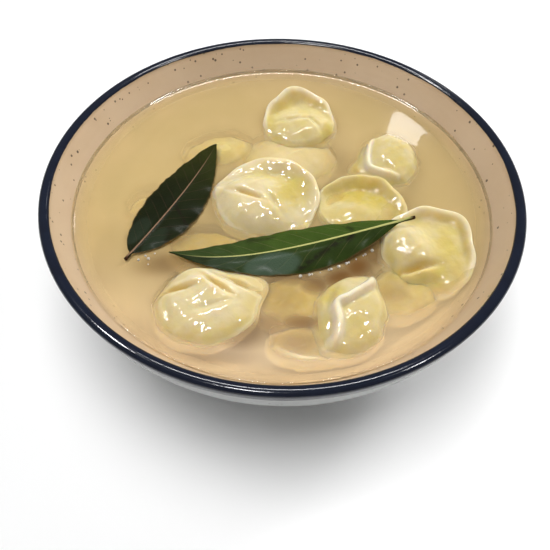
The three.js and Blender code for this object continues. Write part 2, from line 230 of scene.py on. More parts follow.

# A leaf's rib is a Bezier curve from its stalk to its tip, with heights from the broth's
# surface, and rib_width is its width at either end. Each half of its blade is (widest, skew,
# taper, height at which its edge rests). A stain is (share, side, share, side, width,
# strength) from one place on the blade to another, with side 1 on the left edge and -1 on the
# right. A wet film is (share, side, length, width, strength): a painted sheen, the wet film's
# reflection of the room. The near half's value is how much of its colour the left half keeps:
# painted shade on the near half, which faces away from the lamps.
STALK_SHARE = 0.055  # of the leaf's length
STALK_HALF_WIDTH = 0.8
TIP_HALF_WIDTH = 0.3
BLADE_HALF_THICKNESS = 0.22
RIB_SWELL = 0.45  # of the rib's width
STALK_SWELL = 0.5
LEAF_ROWS, LEAF_COLUMNS = 200, 44
LEAVES = {
    "dark": dict(
        rib=[(-62, -38, 1.5), (-55, -25, 1.5), (-38, 6, 1.8), (-31, 29, 3.5)],
        left=(12.5, 0.88, 0.63, 0.8), right=(12.7, 0.74, 1, 1),
        rib_width=(0.5, 0.18), phase=0.5, near_half_shade=0.9,
        stains=[(0.5, 0.25, 0.37, -0.85, 0.7, 1), (0.3, -0.5, 0.22, -0.9, 1.2, 0.5)],
        film_sheens=[(0.2, 0.55, 8, 4, 0.15), (0.19, -0.55, 8, 3.5, 0.15)],
    ),
    "green": dict(
        rib=[(55, -16, 7.5), (20, -27, 5.5), (-18, -42, 2), (-45, -34, 2.5)],
        left=(10.7, 0.85, 1.3, 0.4), right=(10.8, 0.9, 0.9, 2),
        rib_width=(0.65, 0.22), phase=2.0, near_half_shade=0.5,
        stains=[
            (0.31, 0.12, 0.5, 0.8, 1.1, 0.9), (0.27, 0.1, 0.29, 0.25, 1.3, 1),
            (0.26, -0.3, 0.28, -0.7, 1.2, 0.7), (0.58, -0.75, 0.68, -0.85, 1.4, 0.6),
        ],
        film_sheens=[(0.6, 0.55, 11, 5, 0.75), (0.76, 0.3, 8, 3, 0.25)],
    ),
}

# Bubbles: a row along the green leaf's near edge, and a cluster by the dark leaf's stalk.
ROW_BUBBLES = 13
ROW_SHARES = (0.2, 0.53)  # of the leaf's length
ROW_CLEARANCE = 0.9  # beyond the edge
CLUSTER_BUBBLES = 5
CLUSTER_MIDDLE = (-53, -36)
CLUSTER_SPREAD = 2.0
GOLDEN_ANGLE = 137.5
BUBBLE_RADII = (0.35, 0.75)
BUBBLE_FLOAT = 0.25  # height of its middle over the broth, in radii
BUBBLE_ROWS, BUBBLE_COLUMNS = 9, 14


# ---- Settings -----------------------------------------------------------------------


def colour(name, description, default):
    """A colour property."""
    return FloatVectorProperty(
        name=name, description=description, default=default, size=3, subtype="COLOR", min=0, max=1
    )


class PelmeniBowlSettings(bpy.types.PropertyGroup):
    inside: colour("Inside glaze", "Warm glaze inside the bowl", (0.60, 0.45, 0.30))
    outside: colour("Outside glaze", "Cool grey glaze outside the bowl", (0.43, 0.44, 0.43))
    rim: colour("Rim", "Navy band painted over the lip", (0.004, 0.006, 0.015))
    speck: colour("Specks", "Iron specks in the clay", (0.05, 0.03, 0.02))
    band_outside: FloatProperty(
        name="Band outside", description="Navy band below the lip's crown, outside",
        default=6.3 * MM, unit="LENGTH",
    )
    band_inside: FloatProperty(
        name="Band inside", description="Navy band below the lip's crown, inside",
        default=2.8 * MM, unit="LENGTH",
    )


class PelmeniBrothSettings(bpy.types.PropertyGroup):
    clear: colour("Clear broth", "Tint of what is seen through the broth", (0.97, 0.95, 0.87))
    cloud: colour("Cloud", "Colour that things sink into", (0.525, 0.39, 0.172))
    # Painted light: the cloud lighter and warmer near the front wall, where light from behind falls
    cloud_lit_front: colour("Front cloud", "The same near the front wall", (0.77, 0.58, 0.36))
    # Painted shade: the broth's colour in the gaps between pelmeni, where little light reaches
    gap_shade: colour("Gloom", "Cloud in the gaps between pelmeni", (0.13, 0.055, 0.012))
    cloud_depth: FloatProperty(
        name="Cloud depth", description="Depth at which the cloud hides two thirds",
        default=8 * MM, unit="LENGTH",
    )
    veil: FloatProperty(
        name="Veil", description="Share of the view that starch hides where the broth is deep",
        default=0.62, min=0, max=1,
    )
    veil_depth: FloatProperty(
        name="Veil depth", description="Depth at which the veil has two thirds of its strength",
        default=7 * MM, unit="LENGTH",
    )
    climb: FloatProperty(
        name="Climb", description="How high the broth climbs at the wall",
        default=1.6 * MM, unit="LENGTH",
    )


class PelmeniDoughSettings(bpy.types.PropertyGroup):
    dough: colour("Dough", "Boiled dough over the filling", (0.60, 0.495, 0.25))
    edge: colour("Brim", "Thick pale dough along the brim", (0.72, 0.65, 0.50))
    # Painted shade deep in the creases
    fold_shade: colour("Fold", "Ochre shade deep in the folds", (0.62, 0.42, 0.12))
    # Yellow of the hollows, partly painted shade in folds, under leaves and neighbours and on sunk ones
    yellow_and_shade: colour("Hollow", "Yellow shade of the hollows", (0.50, 0.385, 0.085))
    rings: IntProperty(name="Rings", description="Rows from pole to pole", default=96, min=12)
    spokes: IntProperty(name="Spokes", description="Columns round the brim", default=150, min=12)


class PelmeniLeafSettings(bpy.types.PropertyGroup):
    dark: colour("Dark leaf", "Blade of the dark leaf", (0.010, 0.014, 0.004))
    dark_tip: colour("Dark leaf's tip", "Blade of the dark leaf near its tip", (0.026, 0.030, 0.005))
    dark_rib: colour("Dark leaf's rib", "Rib of the dark leaf", (0.22, 0.13, 0.08))
    green: colour("Green leaf", "Blade of the green leaf", (0.045, 0.080, 0.012))
    green_tip: colour("Green leaf's tip", "Blade of the green leaf near its tip", (0.032, 0.052, 0.014))
    green_rib: colour("Green leaf's rib", "Rib of the green leaf", (0.46, 0.45, 0.16))


class PelmeniStageSettings(bpy.types.PropertyGroup):
    floor: colour("Floor", "Plain pale floor", (0.94, 0.94, 0.94))
    room: FloatProperty(name="Room", description="Brightness of the room", default=0.2, min=0)
    lens: FloatProperty(name="Lens", description="Focal length in millimetres", default=39.27)
    pitch: FloatProperty(
        name="Pitch", description="How far the camera looks down", default=math.radians(53.96),
        subtype="ANGLE",
    )
    roll: FloatProperty(
        name="Roll", description="Camera roll", default=math.radians(1.09), subtype="ANGLE"
    )
    pan: FloatProperty(
        name="Pan", description="Camera pan", default=math.radians(0.79), subtype="ANGLE"
    )
    camera: FloatVectorProperty(
        name="Camera", description="Camera position", size=3, subtype="TRANSLATION",
        default=(0.0, -0.1818, 0.2435),
    )


def settings():
    return bpy.context.scene.pelmeni


class PelmeniSettings(bpy.types.PropertyGroup):
    bowl: PointerProperty(type=PelmeniBowlSettings)
    broth: PointerProperty(type=PelmeniBrothSettings)
    dough: PointerProperty(type=PelmeniDoughSettings)
    leaf: PointerProperty(type=PelmeniLeafSettings)
    stage: PointerProperty(type=PelmeniStageSettings)


# ---- Curves and surfaces ------------------------------------------------------------


def ramp(value, low, high):
    """0 at low, 1 at high, with a smooth run between; low may be the larger."""
    t = np.clip((value - low) / (high - low), 0, 1)
    return t * t * (3 - 2 * t)


def bezier(points, t):
    """Points of a cubic Bezier curve at the parameters t."""
    a, b, c, d = np.array(points, float)
    t = np.asarray(t)[:, None]
    return (1 - t) ** 3 * a + 3 * (1 - t) ** 2 * t * b + 3 * (1 - t) * t**2 * c + t**3 * d


def smooth_line(points, steps):
    """A Catmull-Rom curve through the points, with its ends carried straight on."""
    p = np.array(points, float)
    p = np.vstack([2 * p[0] - p[1], p, 2 * p[-1] - p[-2]])
    place = np.linspace(0, len(p) - 3, steps)
    i = np.minimum(place.astype(int), len(p) - 4)
    f = (place - i)[:, None]
    a, b, c, d = p[i], p[i + 1], p[i + 2], p[i + 3]
    square, cube = 2 * a - 5 * b + 4 * c - d, 3 * b - a - 3 * c + d
    return 0.5 * (2 * b + (c - a) * f + square * f**2 + cube * f**3)


def in_ellipse(x, y, spot):
    """Distance from the middle of a turned ellipse, 1 on the ellipse."""
    at_x, at_y, length, width, turn = spot[:5]
    c, s = math.cos(math.radians(turn)), math.sin(math.radians(turn))
    along = ((x - at_x) * c + (y - at_y) * s) / length
    across = ((y - at_y) * c - (x - at_x) * s) / width
    return np.hypot(along, across)


def ripple(x, y, wavelength, phase):
    """Uneven dough: three crossing sine waves of about one wavelength, from -1 to 1."""
    k = 2 * math.pi / wavelength
    first = np.sin(k * (0.8 * x + 0.6 * y) + phase)
    second = np.sin(k * (0.9 * y - 0.5 * x) + 2.1 * phase + 1)
    third = np.sin(1.7 * k * (0.6 * x - 0.8 * y) + 0.7 * phase)
    return (first + second + 0.6 * third) / 2.6


def brim_radius(theta, shape):
    """Plan radius of the brim: an ellipse, plus drawn-out corners and a slight ruffle."""
    turn = math.radians(shape["turn"])
    a, b = shape["size"]
    radius = 1 / np.hypot(np.cos(theta - turn) / a, np.sin(theta - turn) / b)
    for angle, width, reach in shape["corners"]:
        away = (np.degrees(theta) - angle + 180) % 360 - 180
        radius = radius + reach * np.exp(-((away / width) ** 2))
    phase = shape["phase"]
    return radius + 0.3 * np.sin(7 * theta + phase) + 0.2 * np.sin(11 * theta + 2 * phase + 1)


def ridge_height(x, y, line, width, height):
    """A pinched ridge: it falls off with the distance from a curve and fades at its ends."""
    samples = smooth_line(line, 60)
    distance = np.hypot(x[..., None] - samples[:, 0], y[..., None] - samples[:, 1])
    place = distance.argmin(-1) / (len(samples) - 1)
    fade = np.sin(math.pi * np.clip(place, 0.03, 0.97)) ** 0.4
    return height * np.exp(-((distance.min(-1) / width) ** 3)) * fade


def dough_sheet(out, theta, shape):
    """The middle of the sheet of dough: a tilted plane whose brim lifts towards one side."""
    radius = brim_radius(theta, shape)
    x = out * radius * np.cos(theta)
    y = out * radius * np.sin(theta)
    mean, swing, toward = shape["rise"]
    lift = mean + swing * np.cos(theta - math.radians(toward))
    tilt = shape["tilt"]
    middle = tilt[0] * x + tilt[1] * y + lift * ramp(out, shape["brim_start"], 1) ** 1.3
    middle = middle + 0.4 * np.sin(5 * theta + 1.7 * shape["phase"]) * ramp(out, 0.7, 1)
    return x, y, middle


def dough_swell(x, y, out, shape):
    """How far the top stands over the sheet: fillings and ridges less creases, uneven."""
    swell = np.zeros_like(x)
    for spot in shape["fillings"]:
        swell = swell + spot[5] * np.exp(-0.9 * in_ellipse(x, y, spot) ** 2.8)
    for spot in shape["creases"]:
        swell = swell - spot[5] * np.exp(-in_ellipse(x, y, spot) ** 2)
    for line, width, height in shape["ridges"]:
        swell = swell + ridge_height(x, y, line, width, height)
    phase = shape["phase"]
    uneven = 0.35 * ripple(x, y, 14, phase) + 0.14 * ripple(x, y, 5.7, phase + 2)
    return swell + uneven * ramp(out, 1, 0.8)


def dough_colours(points, x, y, out, theta, shape):
    """How far each place shows the brim's, the hollows', the folds' or the crowns' colour, from
    0 to 1. Hollows are the valley round the first filling where the brim is cupped, the low side
    of the brim, the yellow spots and the feet of fillings: partly the dough's own yellow and
    partly painted shade, as is the least yellow of the whole. Folds are painted shade in the
    creases, and crowns painted light on high places."""
    mean, swing, toward = shape["rise"]
    cupped = ramp(mean + swing * np.cos(theta - math.radians(toward)), -1, 4)
    begin, full, fade, end = shape["valley"]
    from_filling = ramp(in_ellipse(x, y, shape["fillings"][0]), 0.85, 1.15)
    yellow_and_shade = ramp(out, begin, full) * ramp(out, end, fade) * from_filling
    # Least yellow of the whole dumpling: partly its own tone, partly painted shade
    yellow_and_shade = np.maximum(0.6 * yellow_and_shade * cupped, shape["shade"])
    yellow_and_shade = np.maximum(yellow_and_shade, ramp(out, 0.55, 0.85) * (1 - cupped) * shape["skirt"])
    # Yellow spots: partly the dough's own yellow, partly painted shade under leaves and neighbours
    for spot in shape["yellow"]:
        yellow_and_shade = np.maximum(yellow_and_shade, spot[5] * np.exp(-in_ellipse(x, y, spot) ** 3))
    relief = dough_relief(points, shape)
    # Painted shade in folds and at the feet of fillings, where the dough lies under its surroundings
    yellow_and_shade = np.maximum(yellow_and_shade, 0.5 * ramp(relief, 0.15, 1.2))
    brim = shape["white"] * ramp(out, 0.84, 0.97)
    for line, width, _ in shape["ridges"]:
        brim = np.maximum(brim, ridge_height(x, y, line, 1.3 * width, 1))
    # Painted shade in the creases
    fold_shade = np.zeros_like(x)
    for spot in shape["creases"]:
        fold_shade = np.maximum(fold_shade, ramp(spot[5], 1.2, 4) * np.exp(-in_ellipse(x, y, spot) ** 2))
    # Painted light on crests and crowns, where the dough stands over its surroundings
    pale = np.maximum(shape["pale"], shape["crown"] * ramp(-relief, 0.06, 0.6)) * (1 - yellow_and_shade)
    return {"brim": brim, "yellow_and_shade": yellow_and_shade, "fold_shade": fold_shade, "pale": pale}


def pelmen_surface(shape, rings, spokes):
    """A sphere pressed into a two-sided sheet: latitude runs from the top's pole out to the
    brim and back to the bottom's pole, longitude runs round. Returns points and layers."""
    latitude = np.linspace(0, math.pi, rings + 1)
    longitude = np.linspace(0, 2 * math.pi, spokes, endpoint=False)
    latitude, theta = np.meshgrid(latitude, longitude, indexing="ij")
    out = np.clip(np.sin(latitude), 0, 1)
    x, y, middle = dough_sheet(out, theta, shape)
    radius = brim_radius(theta, shape)
    thickness = shape["thickness"]
    from_edge = np.minimum(1, (1 - out) * radius / thickness)
    half = thickness * np.sqrt(1 - (1 - from_edge) ** 2)
    swell = dough_swell(x, y, out, shape)
    belly = BELLY_DEPTH * np.exp(-0.9 * in_ellipse(x, y, shape["fillings"][0]) ** 2.4)
    inward = ramp(out, 1, 0.9)
    top = middle + half + swell * inward
    bottom = middle - half - belly * inward
    z = np.where(latitude <= math.pi / 2, top, bottom)
    points = np.stack([x, y, z], -1) + np.array(shape["place"]) + (0, 0, LEVEL)
    return points, dough_colours(points, x, y, out, theta, shape)


def pelmen_height(x, y, shape):
    """Height of a dumpling's top over any place in plan, and the distance out from its brim."""
    dx, dy = x - shape["place"][0], y - shape["place"][1]
    theta = np.arctan2(dy, dx)
    radius = brim_radius(theta, shape)
    away = np.hypot(dx, dy)
    out = np.minimum(1, away / radius)
    _, _, middle = dough_sheet(out, theta, shape)
    swell = dough_swell(dx, dy, out, shape) * ramp(out, 1, 0.9)
    return shape["place"][2] + middle + 1.0 + swell, away - radius


def dough_relief(points, shape):
    """How far each place lies under the mean of four places a short reach away: over 0 in
    folds and at the foot of a filling, under 0 on crests and crowns."""
    x, y = points[..., 0], points[..., 1]
    around = [(-RELIEF_REACH, 0), (RELIEF_REACH, 0), (0, -RELIEF_REACH), (0, RELIEF_REACH)]
    heights = [pelmen_height(x + dx, y + dy, shape)[0] for dx, dy in around]
    return sum(heights) / len(around) - pelmen_height(x, y, shape)[0]


# ---- Meshes -------------------------------------------------------------------------


def wrapped_faces(rows, columns):
    """Quads between rows of a grid that closes round its columns."""
    i, j = np.meshgrid(np.arange(rows - 1) * columns, np.arange(columns), indexing="ij")
    k = (j + 1) % columns
    below = i + columns
    return np.stack([i + j, below + j, below + k, i + k], -1).reshape(-1, 4)


def swept_volume(points):
    """Signed volume inside a grid that closes round its columns, cut along its diagonals."""
    a, b = points[:-1], points[1:]
    c, d = np.roll(b, -1, 1), np.roll(a, -1, 1)
    return (np.cross(a, b) * c + np.cross(a, c) * d).sum() / 6


def closed_grid(points):
    """Vertices, quads and triangles of a grid whose columns wrap and whose end rows are poles."""
    rows, columns = points.shape[:2]
    body = points[1:-1].reshape(-1, 3)
    vertices = np.vstack([body, points[0].mean(0), points[-1].mean(0)]) * MM
    j = np.arange(columns)
    k = (j + 1) % columns
    last = (rows - 3) * columns
    first_fan = np.stack([np.full(columns, len(body)), j, k], -1)
    last_fan = np.stack([np.full(columns, len(body) + 1), last + k, last + j], -1)
    return vertices, wrapped_faces(rows - 2, columns), np.vstack([first_fan, last_fan])


def closed_mesh(name, points, layers):
    """A mesh from one closed grid, with its values per point as attributes."""
    if swept_volume(points) < 0:
        points = points[::-1]
        layers = {layer: values[::-1] for layer, values in layers.items()}
    mesh = fill_mesh(name, *closed_grid(points))
    for layer, values in layers.items():
        flat = np.concatenate([values[1:-1].ravel(), [values[0].mean(), values[-1].mean()]])
        attribute = mesh.attributes.new(layer, "FLOAT", "POINT")
        attribute.data.foreach_set("value", flat.astype(np.float32))
    return mesh


def fill_mesh(name, vertices, quads, tris):
    """A smooth mesh from arrays of vertices in metres, quads and triangles."""
    mesh = bpy.data.meshes.new(name)
    mesh.vertices.add(len(vertices))
    mesh.vertices.foreach_set("co", vertices.astype(np.float32).ravel())
    mesh.loops.add(quads.size + tris.size)
    corners = np.concatenate([quads.ravel(), tris.ravel()])
    mesh.loops.foreach_set("vertex_index", corners.astype(np.int32))
    sizes = np.concatenate([np.full(len(quads), 4), np.full(len(tris), 3)])
    starts = np.concatenate([[0], np.cumsum(sizes)[:-1]])
    mesh.polygons.add(len(sizes))
    mesh.polygons.foreach_set("loop_start", starts.astype(np.int32))
    mesh.update(calc_edges=True)
    mesh.shade_smooth()
    return mesh


def add_piece(mesh, material, node=None):
    """Puts a mesh into the scene under its own name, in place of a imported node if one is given."""
    piece = bpy.data.objects.new(mesh.name, mesh)
    bpy.context.scene.collection.objects.link(piece)
    mesh.materials.append(material)
    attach(piece, "root")
    if node:
        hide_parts(node)
    return piece


# ---- Material nodes -----------------------------------------------------------------


class Nodes:
    """A material's node tree, with short ways to add and join nodes."""

    def __init__(self, name):
        self.material = bpy.data.materials.new(name)
        self.material.use_nodes = True
        self.tree = self.material.node_tree
        self.tree.nodes.clear()

    def add(self, kind, inputs=None, **fields):
        node = self.tree.nodes.new("ShaderNode" + kind)
        for field, value in fields.items():
            setattr(node, field, value)
        for key, value in (inputs or {}).items():
            self.feed(node.inputs[key], value)
        return node

    def feed(self, socket, value):
        if isinstance(value, bpy.types.NodeSocket):
            self.tree.links.new(value, socket)
        elif socket.type == "RGBA" and len(value) == 3:
            socket.default_value = (*value, 1)
        else:
            socket.default_value = value

    def math(self, operation, *values):
        node = self.add("Math", operation=operation)
        for socket, value in zip(node.inputs, values):
            self.feed(socket, value)
        return node.outputs[0]

    def times(self, first, second):
        return self.math("MULTIPLY", first, second)

    def plus(self, first, second):
        return self.math("ADD", first, second)

    def mix(self, factor, first, second, blend="MIX"):
        node = self.add("Mix", data_type="RGBA", blend_type=blend)
        self.feed(node.inputs[0], factor)
        self.feed(node.inputs[6], first)
        self.feed(node.inputs[7], second)
        return node.outputs[2]

    def steps(self, value, low, high):
        inputs = {0: value, 1: low, 2: high, 3: 0.0, 4: 1.0}
        return self.add("MapRange", inputs, interpolation_type="SMOOTHSTEP").outputs[0]

    def noise(self, vector, scale, detail=3.0):
        inputs = {"Vector": vector, "Scale": scale, "Detail": detail, "Roughness": 0.5}
        return self.add("TexNoise", inputs).outputs["Fac"]

    def attribute(self, name):
        return self.add("Attribute", attribute_name=name).outputs["Fac"]

    def place(self):
        return self.add("TexCoord").outputs["Object"]

    def bump(self, height, distance, strength):
        inputs = {"Height": height, "Distance": distance, "Strength": strength}
        return self.add("Bump", inputs).outputs[0]

    def finish(self, shader):
        output = self.add("OutputMaterial")
        self.tree.links.new(shader.outputs[0], output.inputs["Surface"])
        return self.material


def cloud_colour(nodes):
    """The broth's cloud, with painted light: warmer and lighter towards the front wall, which the
    light from behind falls on.
    """
    broth = settings().broth
    y = nodes.add("SeparateXYZ", {0: nodes.place()}).outputs["Y"]
    cloud = nodes.mix(nodes.steps(y, -0.02, -0.09), tuple(broth.cloud), tuple(broth.cloud_lit_front))
    haze = nodes.steps(nodes.noise(nodes.place(), 30.0, 3.0), 0.35, 0.7)
    return nodes.mix(nodes.times(haze, 0.35), cloud, (0.64, 0.465, 0.225))


def clouded(nodes, plain):
    """Mixes a colour into the broth's cloud: what is left of it falls as exp(-depth)."""
    broth = settings().broth
    z = nodes.add("SeparateXYZ", {0: nodes.place()}).outputs["Z"]
    depth = nodes.math("MAXIMUM", nodes.math("SUBTRACT", LEVEL * MM, z), 0.0)
    left = nodes.math("EXPONENT", nodes.times(depth, -1 / broth.cloud_depth))
    return nodes.mix(left, cloud_colour(nodes), plain)


def specks(nodes, scale, size, share):
    """Round specks: the middles of some Voronoi cells, each of its own size."""
    cell = nodes.add("TexVoronoi", {"Vector": nodes.place(), "Scale": scale})
    red = nodes.add("SeparateColor", {0: cell.outputs["Color"]})
    chosen = nodes.math("LESS_THAN", red.outputs[0], share)
    reach = nodes.times(red.outputs[1], size)
    inside = nodes.math("LESS_THAN", cell.outputs["Distance"], reach)
    return nodes.times(chosen, inside)


def glaze_material():
    """Two glazes with iron specks, a navy band over the lip and faint turning rings."""
    bowl = settings().bowl
    nodes = Nodes("speckled_glaze")
    place = nodes.place()
    inside = nodes.attribute("inside")
    base = nodes.mix(inside, tuple(bowl.outside), tuple(bowl.inside))
    cloudy = nodes.steps(nodes.noise(place, 45.0, 4.0), 0.35, 0.75)
    base = nodes.mix(nodes.times(cloudy, 0.35), base, (0.86, 0.80, 0.72), "MULTIPLY")
    dots = nodes.math("MAXIMUM", specks(nodes, 170.0, 0.13, 0.6), specks(nodes, 300.0, 0.19, 0.95))
    base = nodes.mix(nodes.times(dots, 0.85), base, tuple(bowl.speck))
    down = nodes.attribute("down")
    wander = nodes.times(nodes.math("SUBTRACT", nodes.noise(place, 60.0), 0.5), 0.0012)
    edge = nodes.plus(down, wander)
    outer = nodes.steps(edge, bowl.band_outside + BAND_BLUR, bowl.band_outside - BAND_BLUR)
    inner = nodes.steps(edge, -bowl.band_inside - BAND_BLUR, -bowl.band_inside + BAND_BLUR)
    band = nodes.times(outer, inner)
    worn = nodes.steps(nodes.noise(place, 160.0, 5.0), 0.2, 0.9)
    navy = nodes.mix(nodes.times(worn, 0.4), tuple(bowl.rim), (0.010, 0.017, 0.036))
    base = nodes.mix(band, base, navy)
    roughness = nodes.plus(0.38, nodes.times(band, -0.26))
    rings = nodes.math("SINE", nodes.times(down, 2 * math.pi / RING_SPACING))
    relief = nodes.plus(nodes.times(rings, 0.06), nodes.noise(place, 120.0, 4.0))
    base = nodes.mix(inside, base, clouded(nodes, base))
    shader = nodes.add(
        "BsdfPrincipled",
        {
            "Base Color": base, "Roughness": roughness, "IOR": 1.5,
            "Normal": nodes.bump(relief, 0.0004, 0.35),
        },
    )
    return nodes.finish(shader)


def broth_material():
    """Refractive broth, milkier where it is deeper, with painted shade in the gaps between pelmeni;
    lamps shine through it to what is sunk.
    """
    broth = settings().broth
    nodes = Nodes("clear_broth")
    # Painted shade in the gaps: a darker tint for what is seen through the broth, and a dark cloud
    gap_shade = nodes.attribute("gap_shade")
    tint = nodes.mix(gap_shade, tuple(broth.clear), (0.5, 0.34, 0.17))
    cloud = nodes.mix(gap_shade, cloud_colour(nodes), tuple(broth.gap_shade))
    clear = nodes.add(
        "BsdfPrincipled",
        {
            "Base Color": tint, "Roughness": 0.15, "IOR": 1.333,
            "Transmission Weight": 1.0, "Specular IOR Level": 0.0,
            "Coat Weight": 1.0, "Coat Roughness": 0.0, "Coat IOR": 1.333,
        },
    )
    milky = nodes.add(
        "BsdfPrincipled",
        {
            "Base Color": cloud, "Roughness": 0.5, "Specular IOR Level": 0.0,
            "Coat Weight": 1.0, "Coat Roughness": 0.0, "Coat IOR": 1.333,
        },
    )
    veil = nodes.attribute("veil")
    body = nodes.add("MixShader", {0: veil, 1: clear.outputs[0], 2: milky.outputs[0]})
    through = nodes.add("BsdfTransparent", {"Color": (0.76, 0.77, 0.71)})
    ray = nodes.add("LightPath").outputs["Is Shadow Ray"]
    mixed = nodes.add("MixShader", {0: ray, 1: body.outputs[0], 2: through.outputs[0]})
    return nodes.finish(mixed)


def dough_material():
    """Translucent dough coloured by its layers, with painted shade in hollows and folds and
    painted light on crowns, and clouded with depth, under a wet coat.
    """
    dough = settings().dough
    nodes = Nodes("boiled_dough")
    place = nodes.place()
    z = nodes.add("SeparateXYZ", {0: place}).outputs["Z"]
    low = nodes.steps(z, (LEVEL + 6) * MM, (LEVEL - 3) * MM)
    low = nodes.math("MAXIMUM", nodes.times(low, 0.3), nodes.attribute("yellow_and_shade"))
    # Yellower from a little over the broth's level down, and in the hollows with their painted shade
    base = nodes.mix(low, tuple(dough.dough), tuple(dough.yellow_and_shade))
    # Pale dough, with painted light on the crowns
    base = nodes.mix(nodes.attribute("pale"), base, tuple(dough.edge))
    base = nodes.mix(nodes.attribute("brim"), base, tuple(dough.edge))
    # Painted shade in the creases
    base = nodes.mix(nodes.attribute("fold_shade"), base, tuple(dough.fold_shade))
    patches = nodes.steps(nodes.noise(place, 130.0, 4.0), 0.42, 0.72)
    base = nodes.mix(nodes.times(patches, 0.3), base, (0.60, 0.52, 0.38))
    grains = nodes.times(nodes.noise(place, 500.0, 4.0), 0.2)
    lumps = nodes.plus(nodes.noise(place, 150.0, 3.0), grains)
    stretch = {0: place, 1: (1.0, 0.3, 0.6)}
    drawn = nodes.add("VectorMath", stretch, operation="MULTIPLY").outputs[0]
    fine = nodes.times(nodes.noise(drawn, 480.0, 0.0), 0.5)
    wavy = nodes.plus(nodes.times(nodes.noise(place, 150.0, 0.0), 0.35), fine)
    shader = nodes.add(
        "BsdfPrincipled",
        {
            "Base Color": clouded(nodes, base), "Roughness": 0.45, "IOR": 1.4,
            "Specular IOR Level": 0.0, "Subsurface Weight": 1.0, "Subsurface Scale": 1.0,
            "Subsurface Radius": (0.004, 0.003, 0.0012), "Coat Weight": 1.0,
            "Coat Roughness": 0.03, "Normal": nodes.bump(lumps, 0.0010, 0.5),
            "Coat Normal": nodes.bump(wavy, 0.0006, 1.0),
        },
    )
    return nodes.finish(shader)


def leaf_material(name, blade, tip, rib, near_shade):
    """A blade with a pale rib, slanting side veins, brown edges, dark stains, painted shade on
    its near half and wet films painted as a reflecting sheen.
    """
    nodes = Nodes(name)
    place = nodes.place()
    along = nodes.attribute("along")
    side = nodes.attribute("across")
    across = nodes.math("ABSOLUTE", side)
    slant = nodes.math("SUBTRACT", nodes.times(along, 13.0), nodes.times(across, 1.7))
    slant = nodes.plus(slant, nodes.times(nodes.noise(place, 60.0), 0.5))
    saw = nodes.math("ABSOLUTE", nodes.math("SUBTRACT", nodes.math("FRACT", slant), 0.5))
    veins = nodes.times(nodes.steps(saw, 0.07, 0.0), nodes.steps(across, 1.0, 0.6))
    net = {"Vector": place, "Scale": 900.0}
    cells = nodes.add("TexVoronoi", net, feature="DISTANCE_TO_EDGE").outputs[0]
    cells = nodes.steps(cells, 0.0, 0.2)
    mottle = nodes.steps(nodes.noise(place, 110.0, 4.0), 0.3, 0.75)
    base = nodes.mix(nodes.steps(along, 0.45, 0.95), blade, tip)
    # Painted shade: the left, near half darker, as it faces away from the lamps
    base = nodes.mix(nodes.steps(side, -0.05, 0.15), base, (near_shade, near_shade, near_shade), "MULTIPLY")
    base = nodes.mix(nodes.times(mottle, 0.55), base, (0.45, 0.45, 0.35), "MULTIPLY")
    base = nodes.mix(nodes.times(veins, 0.25), base, tuple(0.3 * c for c in rib))
    # Painted sheen: the wet films' reflection of the room, as a paler bluish green
    film_sheen = nodes.times(nodes.attribute("film_sheen"), nodes.steps(nodes.noise(place, 70.0), 0.32, 0.45))
    base = nodes.mix(nodes.times(film_sheen, 0.8), base, (0.060, 0.095, 0.066))
    base = nodes.mix(nodes.times(nodes.steps(across, 0.93, 1.0), 0.8), base, (0.085, 0.055, 0.018))
    stain = nodes.times(nodes.attribute("stain"), nodes.steps(nodes.noise(place, 300.0), 0.3, 0.5))
    base = nodes.mix(nodes.times(stain, 0.9), base, (0.010, 0.008, 0.004))
    ridge = nodes.steps(nodes.attribute("rib"), 0.45, 0.7)
    base = nodes.mix(nodes.times(ridge, nodes.steps(along, 1.0, 0.7)), base, rib)
    base = nodes.mix(nodes.steps(along, 0.035, 0.01), base, (0.035, 0.014, 0.006))
    wet = nodes.noise(place, 120.0, 2.0)
    height = nodes.plus(nodes.times(veins, -0.5), nodes.times(cells, 0.2))
    height = nodes.plus(height, nodes.noise(place, 180.0, 3.0))
    shader = nodes.add(
        "BsdfPrincipled",
        {
            "Base Color": base, "Roughness": 0.6, "IOR": 1.12, "Coat Weight": 0.07,
            "Coat Roughness": 0.2, "Normal": nodes.bump(height, 0.0004, 0.6),
            "Coat Normal": nodes.bump(wet, 0.0002, 0.4),
        },
    )
    return nodes.finish(shader)


# ---- Pieces -------------------------------------------------------------------------


def arc_lengths(profile):
    """The length along a polyline from its first point to each of its points."""
    steps = np.linalg.norm(np.diff(profile, axis=0), axis=1)
    return np.concatenate([[0], np.cumsum(steps)])


def turned_points(profile, steps):
    """The profile of (radius, height) turned round the vertical axis."""
    angle = np.linspace(0, 2 * math.pi, steps, endpoint=False)
    radius, z = profile[:, 0, None], profile[:, 1, None]
    return np.stack([radius * np.cos(angle), radius * np.sin(angle), z + 0 * angle], -1)


def rounded(points, radius, steps=4):
    """The polyline with each inner corner replaced by a small curve of about that radius."""
    out = [points[0]]
    for before, corner, after in zip(points, points[1:], points[2:]):
        before, corner, after = map(np.array, (before, corner, after))
        start = corner + (before - corner) * min(0.45, radius / np.linalg.norm(before - corner))
        end = corner + (after - corner) * min(0.45, radius / np.linalg.norm(after - corner))
        t = np.linspace(0, 1, steps)[:, None]
        out.extend((1 - t) ** 2 * start + 2 * (1 - t) * t * corner + t**2 * end)
    return np.array([*out, points[-1]])


